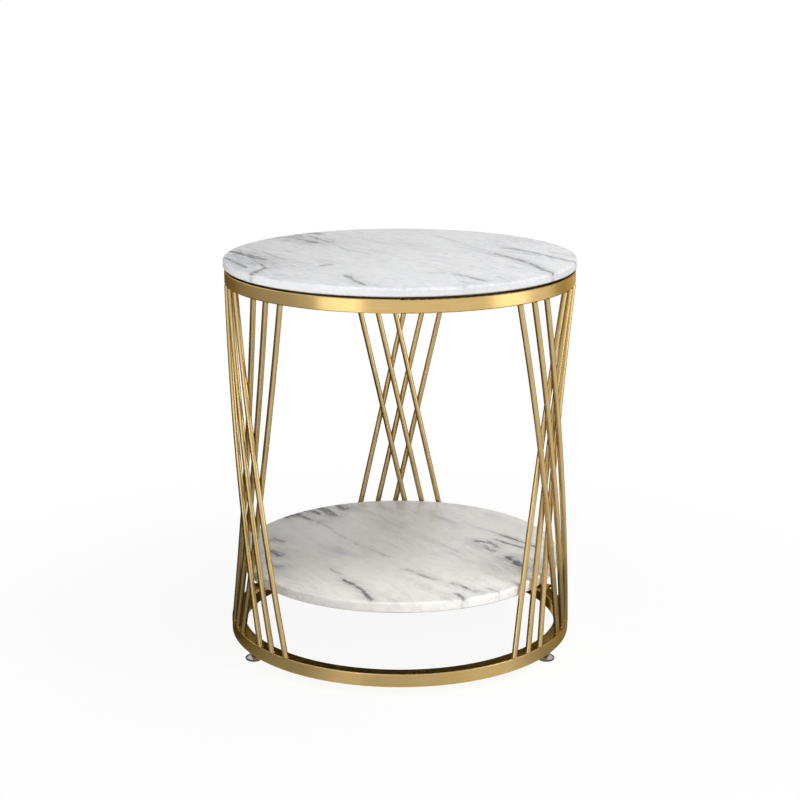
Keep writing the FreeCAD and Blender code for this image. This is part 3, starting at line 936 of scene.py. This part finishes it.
def thread_shape(settings, tip):
    """Right-hand thread from the collar up to a chamfered tip."""
    low = COLLAR_LEVELS[1] - COLLAR_OVERLAP
    pitch, depth = settings.pitch / MM, settings.thread_depth / MM
    rows = round((tip - low) / pitch * ROWS_PER_TURN)
    vertices = []
    for row in range(rows + 1):
        height = low + (tip - low) * row / rows
        runout = min(1.0, (height - low) / pitch, (tip - height) / pitch + THREAD_AT_TIP)
        end_radius = STUD - max(0.0, TIP_CHAMFER - (tip - height))
        for step in range(THREAD_SIDES):
            turn = step / THREAD_SIDES
            phase = (height / pitch - turn) % 1
            crest = max(0.0, min(1.0, THREAD_FLANK * abs(phase - 0.5) - THREAD_FLAT))
            radius = min(STUD - depth * runout * crest, end_radius)
            angle = 2 * math.pi * turn
            vertices.append((radius * math.cos(angle) * MM, radius * math.sin(angle) * MM, height * MM))
    return vertices, stacked(rows + 1, THREAD_SIDES)


def stud_shape(node_name, settings):
    """Headed stud with a hexagon collar and a cut thread."""
    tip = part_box(node_name)[1][2] / MM
    low, high = HEAD_LEVELS
    neck_top = COLLAR_LEVELS[0] + COLLAR_OVERLAP
    outline = [(0, low), (HEAD, low), (HEAD, high), (STUD, high), (STUD, neck_top), (0, neck_top)]
    head = turned(in_metres(rounded(outline, settings.edge / MM)), HEAD_SIDES)
    return joined([head, collar_shape(), thread_shape(settings, tip)])


class SIDETABLE_OT_feet(bpy.types.Operator):
    """Build the three levelling feet: bell, sole and threaded stud"""

    bl_idname = "sidetable.feet"
    bl_label = "Levelling feet"

    def execute(self, context):
        settings = context.scene.side_table
        chrome = chrome_plating(settings.metal)
        nylon = moulded_nylon(settings.small)
        zinc = zinc_plating(settings.metal)
        edge = settings.foot.edge
        for group in GROUPS:
            foot, stud = f"foot_{group}", f"stud_{group}"
            bell_node, sole_node, stud_node = (f"foot_{part}_{group}" for part in ("bell", "sole", "stud"))
            bell, sole = bell_shape(bell_node, edge), sole_shape(sole_node, edge)
            thread = stud_shape(stud_node, settings.foot)
            for name, node_name, shape, material, body, slot in (
                (f"bell_{group}", bell_node, bell, chrome, foot, "bright_chrome"),
                (f"sole_{group}", sole_node, sole, nylon, foot, "nylon"),
                (f"stud_thread_{group}", stud_node, thread, zinc, stud, "zinc"),
            ):
                piece = new_piece(name, *shape, material, body, slot)
                seat(piece, node_name)
                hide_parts(node_name)
        return {"FINISHED"}


# Stage: outlines of the cards as radius and height, and their tones by bearing in degrees,
# with the two end stops of the ramp first

LOW_COVE = ((0.5, 0.002), (0.6, 0.002), (1.0, 0.05), (1.12, 0.12))
MIDDLE_COVE = ((1.12, 0.12), (1.25, 0.3))
HIGH_COVE = ((1.25, 0.3), (1.3, 0.62))
FLOOR_RING = ((0.254, 0.001), (0.5, 0.001))
FLOOR_DISC = ((0.01, 0.001), (0.224, 0.001))
LEFT_LOW_TONES = ((-170, 0.02), (-30, 0.6), (-50, 0.15), (-70, 0.05), (-100, 0.03))
LEFT_MIDDLE_TONES = ((-170, 0.03), (-28, 0.7), (-48, 0.18), (-68, 0.07), (-100, 0.04))
LEFT_TONES = ((-170, 0.05), (-64, 0.8), (-100, 0.5), (-130, 0.3))
RIGHT_LOW_TONES = ((115, 0.5), (170, 0.15), (130, 0.35), (150, 0.35))
RIGHT_TONES = ((106, 0.6), (170, 0.05), (122, 0.4), (140, 1.0), (150, 1.0), (158, 0.4), (164, 0.1))
# Painted shadow: the ring round the table and the disc under it lie on the floor, show only in the metal, and
# stand for the table's shadow on the floor
FLOOR_SHADOW_TONES = (
    (-180, 0.15), (180, 0.15), (-85, 0.06), (-60, 0.3), (-30, 0.42), (0, 0.52), (30, 0.75), (45, 0.55),
    (62, 0.28), (95, 0.42),
)
UNDER_TABLE_SHADOW_TONES = ((-180, 0.05), (180, 0.05))
CARDS = (
    ("left_low_flag", -170, -30, LOW_COVE, LEFT_LOW_TONES),
    ("left_middle_flag", -170, -28, MIDDLE_COVE, LEFT_MIDDLE_TONES),
    ("right_low_flag", 115, 170, LOW_COVE, RIGHT_LOW_TONES),
    ("left_flag", -170, -64, HIGH_COVE, LEFT_TONES),
    ("right_middle_flag", 106, 170, MIDDLE_COVE, RIGHT_TONES),
    ("right_flag", 106, 170, HIGH_COVE, RIGHT_TONES),
    # Painted shadow of the table on the floor, seen only in the metal
    ("floor_shadow_card", -180, 180, FLOOR_RING, FLOOR_SHADOW_TONES),
    ("under_table_shadow_card", -180, 180, FLOOR_DISC, UNDER_TABLE_SHADOW_TONES),
)
CARD_STEPS = 48
END_STOPS = 2

# Lamps: name, the rays that don't see it, place, the point it faces, width and height, watts, spread

TABLE_MIDDLE = (0, 0, 0.3)
LAMPS = (
    ("left_softbox", "visible_diffuse", (-1.31, -1.77, 0.26), TABLE_MIDDLE, (1.05, 0.42), 5.2, 180),
    ("right_softbox", "visible_diffuse", (2.08, -0.7, 0.9), TABLE_MIDDLE, (1.0, 1.2), 10.5, 180),
    ("front_softbox", "visible_glossy", (0.95, -2.6, 2.1), TABLE_MIDDLE, (1.4, 1.2), 42, 180),
    ("key_softbox", "visible_glossy", (0.953, -0.55, 2.035), (0, 0, 0.13), (0.5, 0.5), 20, 180),
    ("rim_softbox", "visible_glossy", (-1.33, -0.93, 0.62), (0, 0, 0.56), (0.4, 0.1), 0.7, 40),
    ("shelf_softbox", "visible_glossy", (0.85, -1.2, 0.72), (0.03, 0, 0.1), (0.4, 0.2), 0.15, 26),
)
FLOOR_REACH = 60
FLOOR_WHITE_SPAN = (0.2, 1.0, 0.92, 1.0)
SENSOR_WIDTH = 36


def aim(obj, target):
    """Turns a lamp towards a point."""
    obj.rotation_euler = (Vector(target) - obj.location).to_track_quat("-Z", "Y").to_euler()


def softbox(name, hidden_from, place, target, size, power, spread):
    """Rectangular soft lamp that the camera doesn't see, with a grid if its light spreads less."""
    data = bpy.data.lights.new(name, "AREA")
    data.shape = "RECTANGLE"
    data.size, data.size_y = size
    data.energy = power
    data.spread = math.radians(spread)
    lamp = bpy.data.objects.new(name, data)
    bpy.context.scene.collection.objects.link(lamp)
    lamp.location = place
    aim(lamp, target)
    lamp.visible_camera = False
    setattr(lamp, hidden_from, False)


def seen_rays(tree):
    """One for rays that show the background: from the camera, or by way of metal or glass."""
    path = node(tree, "ShaderNodeLightPath").outputs
    mirrored = maths(tree, "MAXIMUM", path["Is Glossy Ray"], path["Is Transmission Ray"])
    return maths(tree, "MAXIMUM", path["Is Camera Ray"], mirrored)


def white_surround(strength):
    """World that looks white and lights softly."""
    world = bpy.data.worlds.new("white_surround")
    bpy.context.scene.world = world
    world.use_nodes = True
    tree = world.node_tree
    tree.nodes.clear()
    light = node(tree, "ShaderNodeBackground", {"Color": WHITE, "Strength": strength})
    white = node(tree, "ShaderNodeBackground", {"Color": WHITE, "Strength": 1.0})
    mixed = node(tree, "ShaderNodeMixShader", {0: seen_rays(tree), 1: light.outputs[0], 2: white.outputs[0]})
    node(tree, "ShaderNodeOutputWorld", {"Surface": mixed.outputs[0]})


def stage_piece(name, vertices, faces):
    """Mesh of the stage, with an empty material, and that material's tree."""
    mesh = bpy.data.meshes.new(name)
    mesh.from_pydata(vertices, [], faces)
    piece = bpy.data.objects.new(name, mesh)
    bpy.context.scene.collection.objects.link(piece)
    material = bpy.data.materials.new(f"{name}_paint")
    material.use_nodes = True
    material.node_tree.nodes.clear()
    mesh.materials.append(material)
    return piece, material.node_tree


def pale_floor(tone):
    """Wide floor that keeps the table's shadow near it and is white further off."""
    corners = [(x * FLOOR_REACH, y * FLOOR_REACH, 0) for x, y in ((-1, -1), (1, -1), (1, 1), (-1, 1))]
    tree = stage_piece("floor", corners, [(0, 1, 2, 3)])[1]
    far = span(tree, node(tree, "ShaderNodeTexCoord").outputs["Object"])
    share_white = times(tree, ramp(tree, far, *FLOOR_WHITE_SPAN), seen_rays(tree))
    lit = node(tree, "ShaderNodeBsdfDiffuse", {"Color": rgba(tone)})
    white = node(tree, "ShaderNodeEmission", {"Color": WHITE, "Strength": 1.0})
    mixed = node(tree, "ShaderNodeMixShader", {0: share_white, 1: lit.outputs[0], 2: white.outputs[0]})
    node(tree, "ShaderNodeOutputMaterial", {"Surface": mixed.outputs[0]})


def flag(name, start, end, profile, tone_at):
    """Curved card round the table from one bearing to another, which only shows in the metal."""
    vertices, faces = [], []
    for step in range(CARD_STEPS + 1):
        bearing = math.radians(start + (end - start) * step / CARD_STEPS)
        for radius, height in profile:
            vertices.append((radius * math.sin(bearing), -radius * math.cos(bearing), height))
    rows = len(profile)
    for step in range(CARD_STEPS):
        for row in range(rows - 1):
            a = step * rows + row
            faces.append((a, a + 1, a + rows + 1, a + rows))
    card, tree = stage_piece(name, vertices, faces)
    numbers = parts_of(tree, node(tree, "ShaderNodeTexCoord").outputs["Object"])
    bearing = maths(tree, "ARCTAN2", numbers[0], times(tree, numbers[1], -1.0))
    shade = node(tree, "ShaderNodeValToRGB", {"Fac": ramp(tree, bearing, -math.pi, math.pi, smooth=False)})
    stops = shade.color_ramp.elements
    for index, (degrees, tone) in enumerate(tone_at):
        place = degrees / 360 + 0.5
        stop = stops[index] if index < END_STOPS else stops.new(place)
        stop.position = place
        stop.color = (tone, tone, tone, 1)
    paint = node(tree, "ShaderNodeEmission", {"Color": shade.outputs[0], "Strength": 1.0})
    node(tree, "ShaderNodeOutputMaterial", {"Surface": paint.outputs[0]})
    card.visible_camera = False
    card.visible_diffuse = False
    card.visible_shadow = False
    card.visible_transmission = False


def front_camera(settings):
    """Camera at the height and distance worked out from the hoops' outlines."""
    data = bpy.data.cameras.new("front_camera")
    data.sensor_width = SENSOR_WIDTH
    data.lens = settings.lens
    camera = bpy.data.objects.new("front_camera", data)
    bpy.context.scene.collection.objects.link(camera)
    camera.location = settings.camera_place
    camera.rotation_euler = (math.pi / 2 - settings.camera_pitch, 0, 0)
    bpy.context.scene.camera = camera


class SIDETABLE_OT_stage(bpy.types.Operator):
    """Set up the floor, the lamps and the camera"""

    bl_idname = "sidetable.stage"
    bl_label = "Stage"

    def execute(self, context):
        settings = context.scene.side_table.stage
        context.scene.view_settings.view_transform = "Standard"
        white_surround(settings.surround)
        pale_floor(settings.floor)
        for card in CARDS:
            flag(*card)
        for lamp in LAMPS:
            softbox(*lamp)
        front_camera(settings)
        return {"FINISHED"}


class SIDETABLE_PT_finish(bpy.types.Panel):
    """Lists the finishing steps and their settings"""

    bl_idname = "SIDETABLE_PT_finish"
    bl_label = "Side Table Finish"
    bl_space_type = "VIEW_3D"
    bl_region_type = "UI"
    bl_category = "Side Table"

    def draw(self, context):
        settings = context.scene.side_table
        for step in STEPS:
            self.layout.operator(step.bl_idname)
        for part in ("stone", "metal", "small", "weld", "foot", "stage"):
            box = self.layout.box()
            box.label(text=part.capitalize())
            group = getattr(settings, part)
            for key in group.__annotations__:
                box.prop(group, key)


STEPS = (
    SIDETABLE_OT_stones, SIDETABLE_OT_hoops, SIDETABLE_OT_rods, SIDETABLE_OT_welds, SIDETABLE_OT_pads,
    SIDETABLE_OT_feet, SIDETABLE_OT_stage,
)
SETTINGS = (
    SideTableStone, SideTableMetal, SideTableSmall, SideTableWeld, SideTableFoot, SideTableStage,
    SideTableSettings,
)


def register():
    """Registers the settings, the steps and the panel."""
    for item in (*SETTINGS, *STEPS, SIDETABLE_PT_finish):
        bpy.utils.register_class(item)
    bpy.types.Scene.side_table = bpy.props.PointerProperty(type=SideTableSettings)


def unregister():
    """Takes the settings, the steps and the panel out again."""
    del bpy.types.Scene.side_table
    for item in reversed((*SETTINGS, *STEPS, SIDETABLE_PT_finish)):
        bpy.utils.unregister_class(item)


def main():
    """Runs every step in order."""
    register()
    bpy.ops.sidetable.stones()
    bpy.ops.sidetable.hoops()
    bpy.ops.sidetable.rods()
    bpy.ops.sidetable.welds()
    bpy.ops.sidetable.pads()
    bpy.ops.sidetable.feet()
    bpy.ops.sidetable.stage()


if __name__ == "__main__":
    main()
